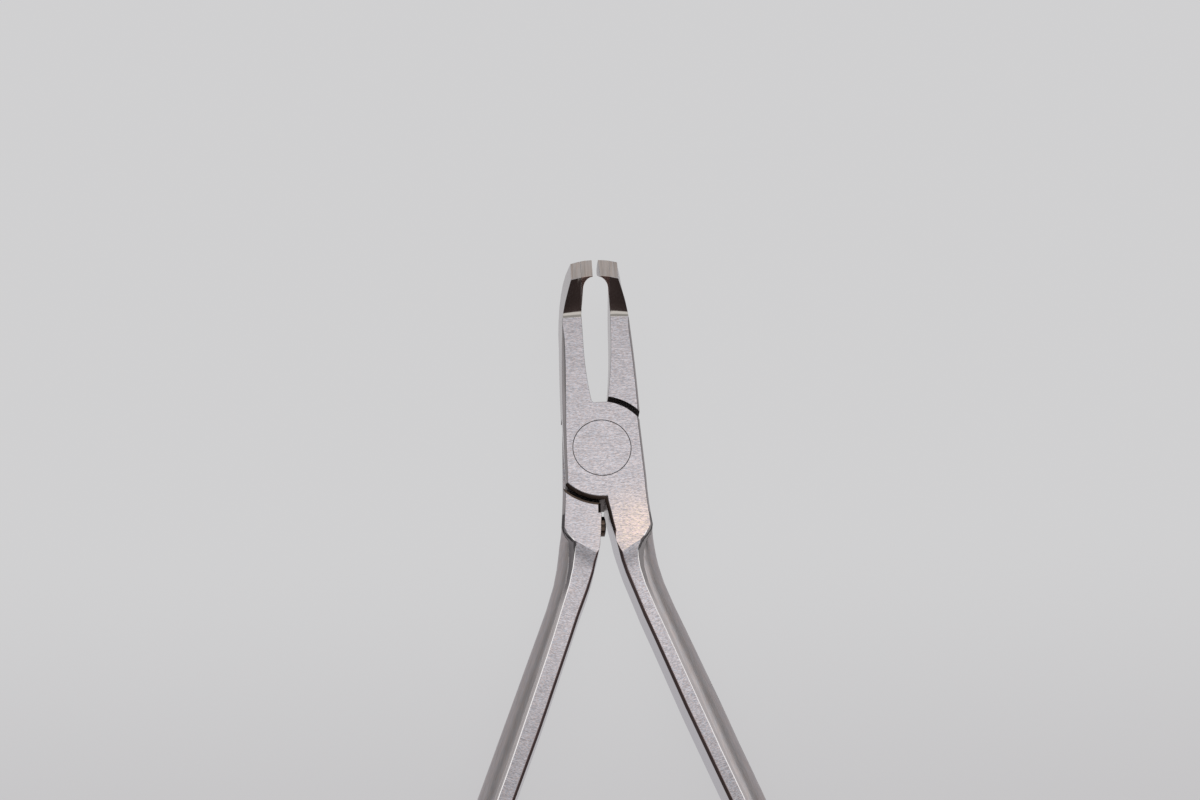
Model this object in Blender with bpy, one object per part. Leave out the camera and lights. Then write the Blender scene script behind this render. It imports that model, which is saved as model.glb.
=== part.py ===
"""Orthodontic cutting pliers with a lap joint, bent tips and carbide cutting edges.

The pliers lie on their back: +Z is the thickness, +Y runs to the tips, and the
pivot axis is the Z axis. Each half is modelled closed, with its jaw at -X and
its handle at +X, and the other half is its mirror image. Both are then turned
about the pivot by half of the opening at rest.

Each half starts as one lofted blank from the end of the handle to the tip. The
window, the slit between the tips, the lap and the bores are cut from it.
"""
import math
from typing import NamedTuple

import bmesh
import bpy
from mathutils import Matrix, Vector

MM = 0.001

# Whole tool
THICKNESS = 7.5 * MM
MID = THICKNESS / 2
REST_OPENING = math.radians(1.9)

# Joint
LAP_GAP = 0.1 * MM
CHEEK_RADIUS_JAW_SIDE = 7.8 * MM
CHEEK_RADIUS_HANDLE_SIDE = 8.55 * MM
CHEEK_CHAMFER = 0.5 * MM
JAW_SHOULDER_GAP = 0.85 * MM
HANDLE_SHOULDER_GAP = 0.55 * MM
SHOULDER_CHAMFER = 0.43 * MM
LEDGE_Y = 7.68 * MM
HEEL_FILLET = 0.4 * MM

# Pivot screw, with its head in the front cheek and its tail riveted at the back
HEAD_RADIUS = 4.6 * MM
HEAD_RIM = 0.9 * MM
SHANK_RADIUS = 2.6 * MM
TAIL_RADIUS = 3.3 * MM
TAIL_DEPTH = 0.9 * MM
PIVOT_CLEARANCE = 0.08 * MM
PIVOT_SEGMENTS = 64

# Jaws
JAW_EDGE_CENTRE_Y = -6.0 * MM
DRAFT_START_Y = 8.0 * MM
JAW_DRAFT = 0.42 * MM
BEND_Y = 22.2 * MM
SLOPE_ANGLE = math.radians(47.8)
BEND_FILLET = 1.3 * MM
TIP_HEIGHT = 12.5 * MM
TIP_THICKNESS = 2.7 * MM
TIP_LEAN = 0.15 * MM
TIP_BULGE_RADIUS = 11.7 * MM
BEND_BULGE = 0.2
FRONT_TAPER_POWER = 1.4
OUTER_BEND_RADIUS = 10.5 * MM

# Window between the jaws
WINDOW_TOP_HALF_WIDTH = 1.4 * MM
ARCH_FOOT_Y = 25.2 * MM
ARCH_RISE = 1.94 * MM
ARCH_UNDERCUT = 0.42

# Cutting edges
INSERT_WIDTH = 1.82 * MM
INSERT_BOTTOM = 8.2 * MM
BRAZE_GAP = 0.01 * MM

# Handles: a spine along the outer side, then the section about it
SPINE_START_Y = -5.0 * MM
SPINE_START_X = 6.4 * MM
SPLAY_RADIUS = 62.0 * MM
SPLAY_ANGLE = math.radians(20.8)
STRAIGHT_LENGTH = 32.0 * MM
BOW_RADIUS = 98.0 * MM
BOW_LENGTH = 47.0 * MM
HANDLE_END_WIDTH = 5.4 * MM
HANDLE_END_ROUND = 3.2 * MM
END_FULLNESS = 0.8
FLAT_START_PLACE = 4.4 * MM
CREASE_SINK = 0.05 * MM
ROUND_START_ANGLE = math.radians(58)
COVE_WIDTH = 0.45 * MM
COVE_DEPTH = 0.12 * MM

# Neck, where the flat of the joint ends and the forged handle begins.
# Place along the spine, height of the inner edge above the mid plane, height of
# the crease, width and depth of the cove below it, and how round the outer side is.
NECK = (
    (6.0 * MM, 3.75 * MM, 3.75 * MM, 0.00 * MM, 0.00 * MM, 0.00),
    (8.0 * MM, 3.80 * MM, 3.76 * MM, 0.05 * MM, 0.03 * MM, 0.00),
    (8.8 * MM, 4.10 * MM, 3.77 * MM, 0.35 * MM, 0.25 * MM, 0.40),
    (9.6 * MM, 4.20 * MM, 3.77 * MM, 0.75 * MM, 0.45 * MM, 0.75),
    (10.2 * MM, 4.12 * MM, 3.74 * MM, 1.00 * MM, 0.55 * MM, 0.95),
    (10.9 * MM, 3.95 * MM, 3.52 * MM, 1.00 * MM, 0.48 * MM, 1.00),
    (11.6 * MM, 3.68 * MM, 3.38 * MM, 0.95 * MM, 0.40 * MM, 1.00),
    (12.6 * MM, 3.40 * MM, 3.30 * MM, 0.85 * MM, 0.30 * MM, 1.00),
    (14.3 * MM, 3.34 * MM, 3.26 * MM, 0.70 * MM, 0.22 * MM, 1.00),
    (17.0 * MM, 3.30 * MM, 3.24 * MM, 0.55 * MM, 0.16 * MM, 1.00),
)
CROTCH_FOOT_Y = -10.8 * MM

# Stop pin, pressed into the inner wall of the back half's handle
PIN_RADIUS = 1.6 * MM
PIN_Y = -12.0 * MM
PIN_REACH = 0.48 * MM
PIN_DEPTH = 3.3 * MM
PIN_CROWN_RADIUS = 5.0 * MM
PIN_CROWN_STEPS = 4
PIN_CLEARANCE = 0.05 * MM
PIN_SEGMENTS = 32

# Facets
ROW_POINTS = 7
COVE_POINTS = 3
ROUND_POINTS = 6
ARC_STEP = math.radians(4)
SLOPE_SHARES = (0.97, 0.90, 0.78, 0.64, 0.48, 0.32)
SLOPE_TURNS = tuple(math.radians(turn) for turn in (90, 77.5, 65, 52.5, 40, 27.5))
BEND_TURNS = tuple(math.radians(turn) for turn in (21, 14, 7, 0))
JAW_STATIONS = tuple(y * MM for y in (21.2, 20.2, 18.6, 16.6, 14.0, 11.0, 8.0, 4.0, 0.0))
JOINT_PLACES = (2.2 * MM, 4.3 * MM)
END_TURNS = tuple(math.radians(turn) for turn in (30, 55, 75, 88))
GRIP_SECTIONS = 20
WALL_STEPS = 6

# How far the cutters run past what they cut, and how far out they start
OVERSHOOT = 2 * MM
REACH = BEND_Y + TIP_HEIGHT + OVERSHOOT

FRONT = 1
BACK = -1


class Edge(NamedTuple):
    """Outer edge of a section across the jaws and the joint."""

    front: float
    back: float
    chamfer: float


class Forging(NamedTuple):
    """The dimensions that differ from one half to the other.

    The tables have a place in their first column: y along the jaw, or the
    distance along the handle's spine.
    """

    name: str
    side: int
    jaw_half_width: float
    jaw_edge_radius: float
    jaw_chamfers: tuple
    tip_half_width: float
    outer_tip_half_width: float
    outer_taper_power: float
    joint_half_width: float
    joint_flare: float
    joint_draft: float
    joint_chamfer: float
    window_half_width: float
    window_straight_y: float
    window_radius: float
    slit_taper: float
    crotch_top_x: float
    crotch_foot_x: float
    crotch_chamfer: float
    spine_shifts: tuple
    inner_chamfers: tuple
    widths: tuple
    rounds: tuple


FRONT_FORGING = Forging(
    name="front_half",
    side=FRONT,
    jaw_half_width=6.07 * MM,
    jaw_edge_radius=345 * MM,
    jaw_chamfers=(
        (-5.0 * MM, 0.33 * MM),
        (3.0 * MM, 0.40 * MM),
        (9.0 * MM, 0.55 * MM),
        (15.0 * MM, 0.54 * MM),
        (18.6 * MM, 0.35 * MM),
        (21.2 * MM, 0.01 * MM),
    ),
    tip_half_width=3.52 * MM,
    outer_tip_half_width=3.62 * MM,
    outer_taper_power=1.9,
    joint_half_width=6.5 * MM,
    joint_flare=0.045,
    joint_draft=0.05 * MM,
    joint_chamfer=0.3 * MM,
    window_half_width=1.86 * MM,
    window_straight_y=17.0 * MM,
    window_radius=58.0 * MM,
    slit_taper=0.0,
    crotch_top_x=-0.08 * MM,
    crotch_foot_x=0.35 * MM,
    crotch_chamfer=0.45 * MM,
    spine_shifts=(
        (8.0 * MM, 0.34 * MM),
        (11.0 * MM, 0.17 * MM),
        (13.4 * MM, 0.0),
        (17.0 * MM, -0.06 * MM),
        (23.0 * MM, 0.12 * MM),
        (40.0 * MM, 0.12 * MM),
        (46.0 * MM, 0.0),
    ),
    inner_chamfers=((4.4 * MM, 0.45 * MM),),
    widths=(
        (4.4 * MM, 6.71 * MM),
        (7.6 * MM, 6.41 * MM),
        (10.0 * MM, 6.14 * MM),
        (13.0 * MM, 5.88 * MM),
        (17.0 * MM, 5.53 * MM),
        (22.0 * MM, 5.62 * MM),
        (30.0 * MM, 5.80 * MM),
        (38.0 * MM, 5.97 * MM),
        (46.0 * MM, 5.85 * MM),
    ),
    rounds=(
        (8.0 * MM, 0.45 * MM),
        (8.8 * MM, 1.05 * MM),
        (9.6 * MM, 1.70 * MM),
        (10.2 * MM, 2.35 * MM),
        (11.6 * MM, 3.00 * MM),
        (13.5 * MM, 3.35 * MM),
        (20.0 * MM, 3.35 * MM),
        (37.0 * MM, 3.65 * MM),
    ),
)
BACK_FORGING = Forging(
    name="back_half",
    side=BACK,
    jaw_half_width=6.5 * MM,
    jaw_edge_radius=265 * MM,
    jaw_chamfers=(
        (20.6 * MM, 0.28 * MM),
        (22.2 * MM, 0.01 * MM),
    ),
    tip_half_width=3.18 * MM,
    outer_tip_half_width=3.24 * MM,
    outer_taper_power=1.35,
    joint_half_width=6.3 * MM,
    joint_flare=0.02,
    joint_draft=0.35 * MM,
    joint_chamfer=0.45 * MM,
    window_half_width=2.03 * MM,
    window_straight_y=20.0 * MM,
    window_radius=83.0 * MM,
    slit_taper=0.12,
    crotch_top_x=0.46 * MM,
    crotch_foot_x=0.49 * MM,
    crotch_chamfer=0.05 * MM,
    spine_shifts=(
        (5.0 * MM, 0.0),
        (9.0 * MM, -0.12 * MM),
        (12.0 * MM, -0.28 * MM),
        (16.0 * MM, -0.54 * MM),
    ),
    inner_chamfers=(
        (7.6 * MM, 0.05 * MM),
        (10.2 * MM, 0.15 * MM),
        (12.6 * MM, 0.32 * MM),
        (17.0 * MM, 0.40 * MM),
    ),
    widths=(
        (6.5 * MM, 6.24 * MM),
        (7.8 * MM, 6.26 * MM),
        (10.4 * MM, 6.34 * MM),
        (12.6 * MM, 5.98 * MM),
        (14.3 * MM, 5.86 * MM),
        (20.0 * MM, 5.29 * MM),
        (26.0 * MM, 5.44 * MM),
        (34.0 * MM, 5.60 * MM),
        (40.0 * MM, 5.72 * MM),
        (57.0 * MM, 5.65 * MM),
    ),
    rounds=(
        (8.0 * MM, 0.50 * MM),
        (8.8 * MM, 1.00 * MM),
        (9.6 * MM, 1.75 * MM),
        (10.2 * MM, 2.50 * MM),
        (15.0 * MM, 2.50 * MM),
        (20.0 * MM, 2.35 * MM),
        (27.0 * MM, 2.70 * MM),
        (47.0 * MM, 3.15 * MM),
    ),
)

STEEL_COLOUR = (0.60, 0.59, 0.58, 1.0)
SCREW_COLOUR = (0.66, 0.65, 0.65, 1.0)
CARBIDE_COLOUR = (0.42, 0.40, 0.39, 1.0)


def clear_scene():
    """Remove every object of the scene the script starts in."""
    for item in list(bpy.data.objects):
        bpy.data.objects.remove(item, do_unlink=True)


def steel(name, colour, roughness):
    """A metal of the given colour."""
    material = bpy.data.materials.new(name)
    material.use_nodes = True
    shader = material.node_tree.nodes["Principled BSDF"]
    shader.inputs["Base Color"].default_value = colour
    shader.inputs["Roughness"].default_value = roughness
    shader.inputs["Metallic"].default_value = 1.0
    return material


def mix(start, end, share):
    """Straight line from start to end."""
    return start + (end - start) * share


def table_value(rows, place, column=1):
    """Value of a column at a place, on straight lines between the rows."""
    if place <= rows[0][0]:
        return rows[0][column]
    for low, high in zip(rows, rows[1:]):
        if place <= high[0]:
            return mix(low[column], high[column], (place - low[0]) / (high[0] - low[0]))
    return rows[-1][column]


def arc(centre, radius, start, end):
    """Points of a flat arc about centre, from angle start to angle end."""
    steps = max(2, math.ceil(abs(end - start) / ARC_STEP))
    return [
        (centre[0] + radius * math.cos(mix(start, end, i / steps)),
         centre[1] + radius * math.sin(mix(start, end, i / steps)))
        for i in range(steps + 1)
    ]


def new_object(name, work, material=None):
    """Close a bmesh into an object with outward faces."""
    bmesh.ops.recalc_face_normals(work, faces=work.faces)
    mesh = bpy.data.meshes.new(name)
    work.to_mesh(mesh)
    work.free()
    mesh.shade_smooth()
    mesh.set_sharp_from_angle(angle=math.radians(24))
    item = bpy.data.objects.new(name, mesh)
    bpy.context.scene.collection.objects.link(item)
    if material:
        mesh.materials.append(material)
    return item


def loft(name, rings, material=None):
    """Skin a closed body over rings of equal length and cap both ends."""
    work = bmesh.new()
    rows = [[work.verts.new(point) for point in ring] for ring in rings]
    count = len(rows[0])
    for low, high in zip(rows, rows[1:]):
        for i in range(count):
            j = (i + 1) % count
            work.faces.new((low[i], low[j], high[j], high[i]))
    work.faces.new(rows[0])
    work.faces.new(rows[-1])
    return new_object(name, work, material)


def prism(name, levels):
    """Upright cutter with a plan outline at each of its levels."""
    rings = [[Vector((x, y, height)) for x, y in outline] for height, outline in levels]
    return as_cutter(loft(name, rings))


def lathe(name, profile, segments, material=None):
    """Turn a profile of radius and height about the Z axis."""
    work = bmesh.new()
    points = [work.verts.new((radius, 0, height)) for radius, height in profile]
    edges = [work.edges.new(pair) for pair in zip(points, points[1:])]
    bmesh.ops.spin(work, geom=points + edges, cent=(0, 0, 0), axis=(0, 0, 1),
                   angle=math.tau, steps=segments, use_merge=True)
    bmesh.ops.remove_doubles(work, verts=work.verts, dist=1e-7)
    return new_object(name, work, material)


def as_cutter(item):
    """Mark an object as a cutting tool that is not a piece."""
    item.hide_render = True
    item.display_type = "WIRE"
    return item


def cut(item, tool, operation="DIFFERENCE"):
    """Cut an object with another one."""
    modifier = item.modifiers.new(tool.name, "BOOLEAN")
    modifier.operation = operation
    modifier.object = tool


def jaw_edge(forging, y):
    """Outer edge of the jaw's side, from the joint to the bend."""
    drop = (y - JAW_EDGE_CENTRE_Y) ** 2 / (2 * forging.jaw_edge_radius)
    front = forging.jaw_half_width - drop
    draft = JAW_DRAFT * min(1.0, max(0.0, (y - DRAFT_START_Y) / (BEND_Y - DRAFT_START_Y)))
    return Edge(front, front + draft, table_value(forging.jaw_chamfers, y))


def handle_edge(forging, y):
    """Outer edge of the handle's side at the joint."""
    front = forging.joint_half_width - forging.joint_flare * y
    return Edge(front, front - forging.joint_draft, forging.joint_chamfer)


def joint_ring(front, back, jaw_side, handle_side, bulge=0.0):
    """Section across the jaws and the joint.

    front and back are the y and z of its two long sides, and bulge is how much
    of the tips' curve in plan it has.
    """
    length = (Vector(front) - Vector(back)).length

    def place(x, depth):
        y = mix(front[0], back[0], depth) - bulge * x * x / (2 * TIP_BULGE_RADIUS)
        return Vector((x, y, mix(front[1], back[1], depth)))

    def side_place(edge, inset, depth):
        return mix(edge.front, edge.back, depth) - inset * edge.chamfer

    bevel = handle_side.chamfer / length
    lip = [(1 - i / COVE_POINTS, bevel * i / COVE_POINTS) for i in range(1, COVE_POINTS + 1)]
    steps = 2 * ROUND_POINTS
    wall = [(0, mix(bevel, 1 - bevel, i / steps)) for i in range(1, steps)]
    side = lip + wall + [(inset, 1 - depth) for inset, depth in reversed(lip)]
    row = [i / (ROW_POINTS - 1) for i in range(ROW_POINTS)]
    left = [side_place(jaw_side, 1, depth) for depth in (0, 1)]
    right = [side_place(handle_side, 1, depth) for depth in (0, 1)]
    ring = [place(mix(-left[0], right[0], t), 0) for t in row]
    ring += [place(side_place(handle_side, inset, depth), depth) for inset, depth in side]
    ring += [place(mix(right[1], -left[1], t), 1) for t in row]
    bevel = jaw_side.chamfer / length
    ring += [place(-side_place(jaw_side, 0, depth), depth) for depth in (1 - bevel, bevel)]
    return ring


def handle_ring(point, heading, width, edges, heights, round_width, cove, roundness, draft=0.0):
    """Section across a handle, square to its spine.

    edges are the chamfers of the inner and the outer side, and heights those of
    the inner edge and of the crease. The inner wall, the front and the back are
    flat. The outer side is a round that starts below a narrow cove beside the
    crease. With no roundness it is a chamfered wall, with a draft to the back.
    """
    outward = Vector((math.cos(heading), math.sin(heading), 0))
    inner_chamfer, outer_chamfer = edges
    inner_height, crease_height = heights
    cove_width, cove_depth = cove
    crease = width - round_width
    round_start = crease + cove_width
    top = crease_height - cove_depth
    start_cosine = math.cos(ROUND_START_ANGLE)

    def place(across, height):
        return point + outward * (across - width) + Vector((0, 0, height))

    def blended(wall, curve):
        lean = draft * (1 - wall[1] / MID) / 2
        return mix(wall[0] - lean, curve[0], roundness), mix(wall[1], curve[1], roundness)

    row = [i / (ROW_POINTS - 1) for i in range(ROW_POINTS)]
    flat = [(mix(inner_chamfer, crease, t), mix(inner_height, crease_height, t)) for t in row]
    back_lean = draft * (1 - roundness)
    back_flat = [(mix(inner_chamfer, crease - back_lean, t), -mix(inner_height, crease_height, t))
                 for t in row]
    lip = []
    for i in range(1, COVE_POINTS + 1):
        turn = math.pi / 2 * i / COVE_POINTS
        hollow = (crease + cove_width * (1 - math.cos(turn)),
                  crease_height - cove_depth * math.sin(turn))
        share = i / COVE_POINTS
        bevel = (width - outer_chamfer * (1 - share), crease_height - outer_chamfer * share)
        lip.append((bevel, hollow))
    outer = [blended(bevel, hollow) for bevel, hollow in lip]
    steps = 2 * ROUND_POINTS
    for i in range(1, steps):
        wall = (width, mix(1, -1, i / steps) * (crease_height - outer_chamfer))
        turn = mix(ROUND_START_ANGLE, -ROUND_START_ANGLE, i / steps)
        swell = (math.cos(turn) - start_cosine) / (1 - start_cosine)
        curve = (mix(round_start, width, swell), top * math.sin(turn) / math.sin(ROUND_START_ANGLE))
        outer.append(blended(wall, curve))
    for bevel, hollow in reversed(lip):
        outer.append(blended((bevel[0], -bevel[1]), (hollow[0], -hollow[1])))
    inner = inner_height - inner_chamfer
    ring = [place(u, v) for u, v in flat]
    ring += [place(u, v) for u, v in outer]
    ring += [place(u, v) for u, v in reversed(back_flat)]
    ring += [place(0, -inner), place(0, inner)]
    return ring


def spine(forging, place):
    """Point and heading of the handle's outer side, at a distance along it."""
    splay_length = SPLAY_RADIUS * SPLAY_ANGLE
    turn = min(place, splay_length) / SPLAY_RADIUS
    x = SPINE_START_X + SPLAY_RADIUS * (1 - math.cos(turn))
    y = SPINE_START_Y - SPLAY_RADIUS * math.sin(turn)
    straight = min(max(place - splay_length, 0), STRAIGHT_LENGTH)
    x += straight * math.sin(turn)
    y -= straight * math.cos(turn)
    bow = max(place - splay_length - STRAIGHT_LENGTH, 0) / BOW_RADIUS
    x += BOW_RADIUS * (math.cos(turn - bow) - math.cos(turn))
    y -= BOW_RADIUS * (math.sin(turn) - math.sin(turn - bow))
    return Vector((x + table_value(forging.spine_shifts, place), y, MID)), turn - bow


def head_rings(forging):
    """Sections of the bent tips, from the end face back to the straight jaws."""
    slope = Vector((math.cos(SLOPE_ANGLE), math.sin(SLOPE_ANGLE)))
    setback = BEND_FILLET * math.tan(SLOPE_ANGLE / 2)
    corner = Vector((BEND_Y + setback, THICKNESS))
    slope_length = (TIP_HEIGHT - THICKNESS) / slope.y
    tip_front = corner + slope * slope_length
    bend_start_y = back_bend_y()
    bend = jaw_edge(forging, BEND_Y)
    tip = forging.tip_half_width
    outer_tip = forging.outer_tip_half_width

    def ring(front, turn, bulge):
        back = (bend_start_y + OUTER_BEND_RADIUS * math.sin(turn),
                OUTER_BEND_RADIUS * (1 - math.cos(turn)))
        climb = max(0.0, (front[0] - BEND_Y) / (tip_front.x - BEND_Y))
        swing = turn / (math.pi / 2)
        edge = Edge(mix(bend.front, tip, climb ** FRONT_TAPER_POWER),
                    mix(bend.back, outer_tip, swing ** forging.outer_taper_power),
                    bend.chamfer)
        return joint_ring(tuple(front), back, edge, edge, bulge)

    end = Edge(tip, outer_tip - TIP_LEAN, bend.chamfer)
    end_back = (tip_front.x + TIP_THICKNESS, TIP_HEIGHT)
    rings = [joint_ring(tuple(tip_front), end_back, end, end, 1.0)]
    for share, turn in zip(SLOPE_SHARES, SLOPE_TURNS):
        rings.append(ring(corner + slope * slope_length * share, turn, share))
    centre = Vector((BEND_Y, THICKNESS + BEND_FILLET))
    for back_turn in BEND_TURNS:
        share = back_turn / BEND_TURNS[0]
        turn = SLOPE_ANGLE * share
        front = centre + Vector((math.sin(turn), -math.cos(turn))) * BEND_FILLET
        rings.append(ring(front, back_turn, BEND_BULGE * share))
    return rings


def tip_end_y():
    """Where the tips end, at the top of their back."""
    setback = BEND_FILLET * math.tan(SLOPE_ANGLE / 2)
    return BEND_Y + setback + (TIP_HEIGHT - THICKNESS) / math.tan(SLOPE_ANGLE) + TIP_THICKNESS


def back_bend_y():
    """Where the back of the jaws begins to bend."""
    return tip_end_y() + TIP_LEAN - OUTER_BEND_RADIUS


def jaw_rings(forging):
    """Sections of the straight jaws and of the joint."""
    rings = []
    slant = (BEND_Y - back_bend_y()) / (BEND_Y - DRAFT_START_Y)
    for y in JAW_STATIONS:
        back_y = y - slant * max(0.0, y - DRAFT_START_Y)
        rings.append(joint_ring((y, THICKNESS), (back_y, 0), jaw_edge(forging, y),
                                handle_edge(forging, y)))
    y = SPINE_START_Y
    point, _ = spine(forging, 0.0)
    handle_side = Edge(point.x, point.x - forging.joint_draft, forging.joint_chamfer)
    rings.append(joint_ring((y, THICKNESS), (y, 0), jaw_edge(forging, y), handle_side))
    return rings


def neck_rings(forging):
    """Sections from the joint to the slimmest part of the handle."""
    rings = []
    chamfer = forging.joint_chamfer
    for place in JOINT_PLACES:
        point, heading = spine(forging, place)
        edges = (forging.inner_chamfers[0][1], chamfer)
        rings.append(handle_ring(point, heading, point.x + SPINE_START_X, edges, (MID, MID),
                                 chamfer, (0, 0), 0, forging.joint_draft))
    for place in [FLAT_START_PLACE] + [row[0] for row in NECK]:
        edges = (table_value(forging.inner_chamfers, place), chamfer)
        point, heading = spine(forging, place)
        inner, crease, cove_width, cove_depth, roundness = (
            table_value(NECK, place, column) for column in range(1, 6))
        round_width = max(chamfer, table_value(forging.rounds, place))
        if place <= NECK[0][0]:
            round_width = chamfer
        rings.append(handle_ring(point, heading, table_value(forging.widths, place), edges,
                                 (inner, crease), round_width, (cove_width, cove_depth),
                                 roundness, forging.joint_draft))
    return rings


def grip_rings(forging):
    """Sections of the handle below the neck, down to its rounded end."""
    start, start_height, _, start_cove_width, start_cove_depth, _ = NECK[-1]
    full = SPLAY_RADIUS * SPLAY_ANGLE + STRAIGHT_LENGTH
    total = full + BOW_LENGTH
    last_width = forging.widths[-1][1]
    rings = []
    for i in range(1, GRIP_SECTIONS + 1):
        place = mix(start, total - HANDLE_END_ROUND, i / GRIP_SECTIONS)
        point, heading = spine(forging, place)
        grow = min(1.0, (place - start) / (full - start))
        height = mix(start_height, MID, grow)
        width = table_value(forging.widths, place)
        if place > full:
            width = mix(last_width, HANDLE_END_WIDTH, (place - full) / (total - full))
        cove = (mix(start_cove_width, COVE_WIDTH, grow), mix(start_cove_depth, COVE_DEPTH, grow))
        inner_chamfer = table_value(forging.inner_chamfers, place)
        rings.append(handle_ring(point, heading, width, (inner_chamfer, inner_chamfer),
                                 (height, height - CREASE_SINK),
                                 table_value(forging.rounds, place), cove, 1))
    for turn in END_TURNS:
        place = total - HANDLE_END_ROUND * (1 - math.sin(turn))
        size = math.cos(turn) ** END_FULLNESS
        point, heading = spine(forging, place)
        inset = HANDLE_END_WIDTH * (1 - size) / 2
        outward = Vector((math.cos(heading), math.sin(heading), 0))
        edge = forging.inner_chamfers[-1][1] * size
        rings.append(handle_ring(point - outward * inset, heading, HANDLE_END_WIDTH * size,
                                 (edge, edge), (MID * size, (MID - CREASE_SINK) * size),
                                 forging.rounds[-1][1] * size,
                                 (COVE_WIDTH * size, COVE_DEPTH * size), 1))
    return rings


def mirrored(points, side):
    """Plan points for the front half, or their mirror image for the back half."""
    return [(x * side, y) for x, y in points]


def slit_x(forging, y):
    """How far the cutting face is ground back from the centre line."""
    return forging.slit_taper * max(0.0, tip_end_y() - y)


def window_outline(forging, half_width, undercut):
    """Plan outline that is cut from beside and above a jaw."""
    straight_y = forging.window_straight_y

    def wall_x(y):
        return -half_width + (straight_y - y) ** 2 / (2 * forging.window_radius)

    wall = []
    for i in range(WALL_STEPS + 1):
        y = mix(LEDGE_Y + HEEL_FILLET, straight_y, i / WALL_STEPS)
        wall.append((wall_x(y), y))
    heel_x = wall_x(LEDGE_Y)
    heel = [(heel_x + HEEL_FILLET * (1 - math.sin(math.radians(turn))),
             LEDGE_Y + HEEL_FILLET * (1 - math.cos(math.radians(turn)))) for turn in (0, 30, 60)]
    arch = [(-half_width * math.cos(math.radians(turn)),
             ARCH_FOOT_Y + undercut + ARCH_RISE * math.sin(math.radians(turn)))
            for turn in range(0, 91, 10)]
    arch_top_y = arch[-1][1]
    arch[-1] = (-slit_x(forging, arch_top_y), arch_top_y)
    slit = [(0.0, max(tip_end_y(), mix(arch_top_y, REACH, 0.1))), (0.0, REACH)]
    start = math.asin(LEDGE_Y / CHEEK_RADIUS_JAW_SIDE)
    shoulder = arc((0, 0), CHEEK_RADIUS_JAW_SIDE, math.radians(20), start)
    return heel + wall + arch + slit + [(REACH, REACH), (REACH, shoulder[0][1])] + shoulder


def jaw_cutter(forging):
    """Cutter for the window, the slit between the tips and the other jaw's place."""
    low = -OVERSHOOT
    high = TIP_HEIGHT + OVERSHOOT
    wide = forging.window_half_width
    lean = (wide - WINDOW_TOP_HALF_WIDTH) / (TIP_HEIGHT - THICKNESS)
    top = wide - lean * (high - THICKNESS)
    levels = []
    for height, half_width in ((low, wide), (THICKNESS, wide), (high, top)):
        outline = window_outline(forging, half_width, ARCH_UNDERCUT * (TIP_HEIGHT - height))
        levels.append((height, mirrored(outline, forging.side)))
    return prism("jaw_cutter", levels)


def crotch_cutter(forging):
    """Cutter for the round edge of the cheek and the crotch beside the handle."""
    radius = CHEEK_RADIUS_HANDLE_SIDE
    corner = math.acos(forging.crotch_top_x / radius)
    levels = []
    for (height, inset), (_, growth) in zip(chamfer_levels(CHEEK_CHAMFER),
                                            chamfer_levels(forging.crotch_chamfer)):
        edge = arc((0, 0), radius - inset, math.radians(-160), -corner)
        edge[-1] = (forging.crotch_top_x + growth, edge[-1][1])
        foot = [(forging.crotch_foot_x + growth, CROTCH_FOOT_Y), (-REACH, CROTCH_FOOT_Y)]
        outline = edge + foot + [(-REACH, edge[0][1])]
        levels.append((height, mirrored(outline, forging.side)))
    return prism("crotch_cutter", levels)


def chamfer_levels(chamfer):
    """Heights of an upright cutter that chamfers both faces of the joint, with its growth."""
    outer = chamfer + OVERSHOOT
    top = THICKNESS - chamfer
    return [(-OVERSHOOT, outer), (chamfer, 0.0), (top, 0.0), (THICKNESS + OVERSHOOT, outer)]


def lap_cutter(side):
    """Cutter for the place of the other half's cheek."""
    jaw_radius = CHEEK_RADIUS_JAW_SIDE + JAW_SHOULDER_GAP
    handle_radius = CHEEK_RADIUS_HANDLE_SIDE + HANDLE_SHOULDER_GAP

    def outline(growth):
        points = arc((0, 0), jaw_radius, 0, math.pi)
        points += arc((0, 0), handle_radius + growth, math.pi, math.tau)
        return mirrored(points, side)

    levels = chamfer_levels(SHOULDER_CHAMFER)
    if side == FRONT:
        levels = levels[:2] + [(MID + LAP_GAP / 2, 0.0)]
    else:
        levels = [(MID - LAP_GAP / 2, 0.0)] + levels[2:]
    return prism("lap_cutter", [(height, outline(growth)) for height, growth in levels])


def flat_cutters(side):
    """Two cutters that grind the neck flush with the flats of the joint."""
    foot_y = SPINE_START_Y - NECK[-1][0]
    top_y = SPINE_START_Y - NECK[0][0]
    outline = mirrored([(-REACH, foot_y), (REACH, foot_y), (REACH, top_y), (-REACH, top_y)], side)
    front = prism("front_flat_cutter", [(THICKNESS, outline), (THICKNESS + OVERSHOOT, outline)])
    back = prism("back_flat_cutter", [(-OVERSHOOT, outline), (0.0, outline)])
    return front, back


def insert_cutter(side, grow):
    """Cutter that bounds a carbide cutting edge, grown by a gap for its seat."""
    reach = INSERT_WIDTH + grow
    outline = mirrored([(-reach, BEND_Y), (REACH, BEND_Y), (REACH, REACH), (-reach, REACH)], side)
    top = TIP_HEIGHT + OVERSHOOT
    return prism("insert_cutter", [(INSERT_BOTTOM - grow, outline), (top, outline)])


def pivot_profile(grow):
    """Radius and height of the screw from its tail to its head, grown by a gap."""
    reach = OVERSHOOT if grow else 0
    cone = HEAD_RADIUS - SHANK_RADIUS
    seat = THICKNESS - HEAD_RIM
    return [
        (0, -reach),
        (TAIL_RADIUS + grow, -reach),
        (TAIL_RADIUS + grow, 0),
        (SHANK_RADIUS + grow, TAIL_DEPTH),
        (SHANK_RADIUS + grow, seat - cone),
        (HEAD_RADIUS + grow, seat),
        (HEAD_RADIUS + grow, THICKNESS + reach),
        (0, THICKNESS + reach),
    ]


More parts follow.
